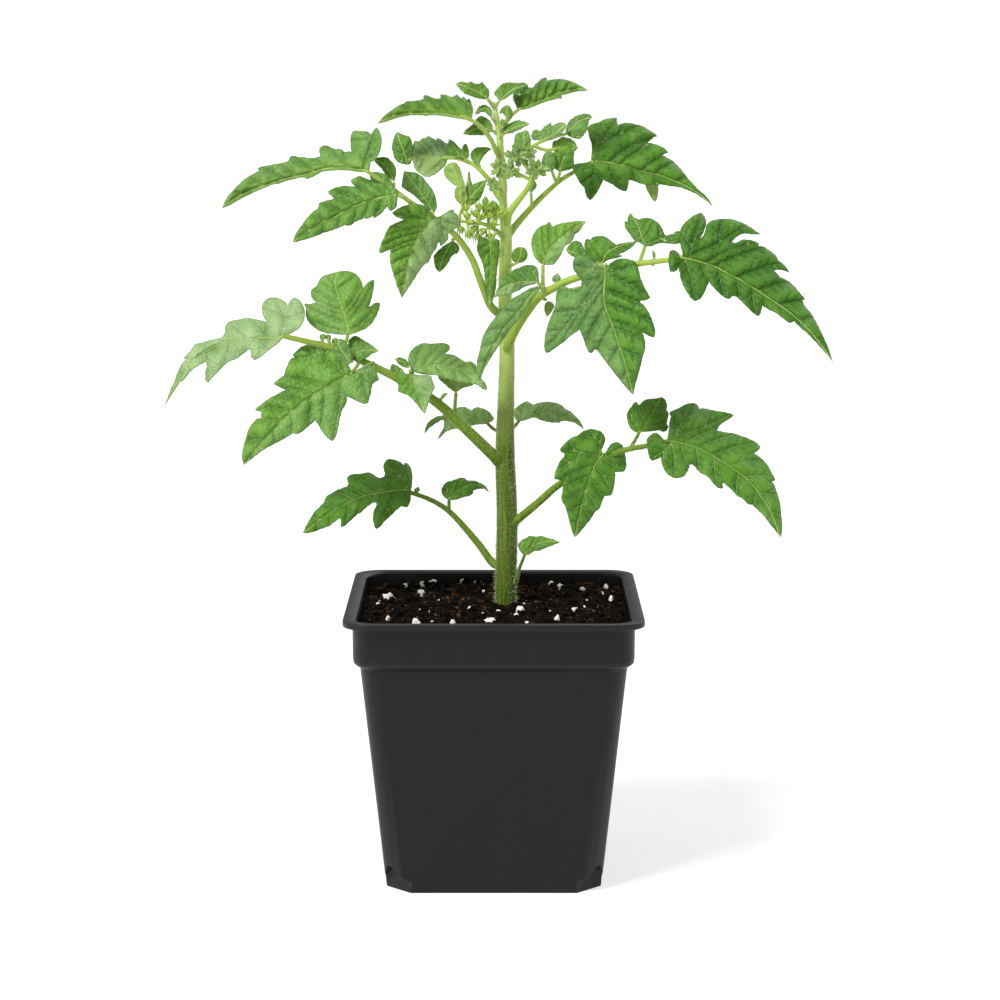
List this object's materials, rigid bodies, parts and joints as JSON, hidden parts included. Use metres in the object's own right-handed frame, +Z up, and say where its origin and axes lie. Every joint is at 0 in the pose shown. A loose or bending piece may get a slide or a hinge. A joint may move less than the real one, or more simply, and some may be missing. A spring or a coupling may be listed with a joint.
{
  "type": "potted tomato plant",
  "caption": "Young tomato plant with compound toothed leaves on an upright hairy stem, growing in a tapered square nursery pot filled with peat and perlite.",
  "frame": {"origin": "middle of the pot's flat underside, on the surface that it stands on", "axes": "+Z up along the stem, +X to the right seen from the front, +Y away from the front"},
  "size_m": [0.3063, 0.14, 0.3802],
  "materials": {
    "pot_plastic": "black polypropylene with a low satin sheen",
    "peat": "dark fibrous peat with white perlite grains, rough",
    "stem_green": "green stem with fine white hairs",
    "leaf_green": "green leaf with a soft sheen, veined and puckered",
    "young_leaf": "pale green young leaf, downy"
  },
  "bodies": {
    "root": {"pot": "pot_plastic", "soil": "peat", "main_stem": "stem_green", "leaf_low_left": "leaf_green", "leaf_low_right": "leaf_green", "leaf_at_base": "leaf_green", "leaf_mid_left": "leaf_green", "leaf_behind_stem": "leaf_green", "leaf_mid_right": "leaf_green", "leaf_upper_right": "leaf_green", "leaf_upper_left": "leaf_green", "leaf_left_under_top": "young_leaf", "leaf_top_left": "young_leaf", "leaf_top_right": "young_leaf", "side_shoot": "young_leaf", "flower_truss": "young_leaf"}
  },
  "joints": []
}
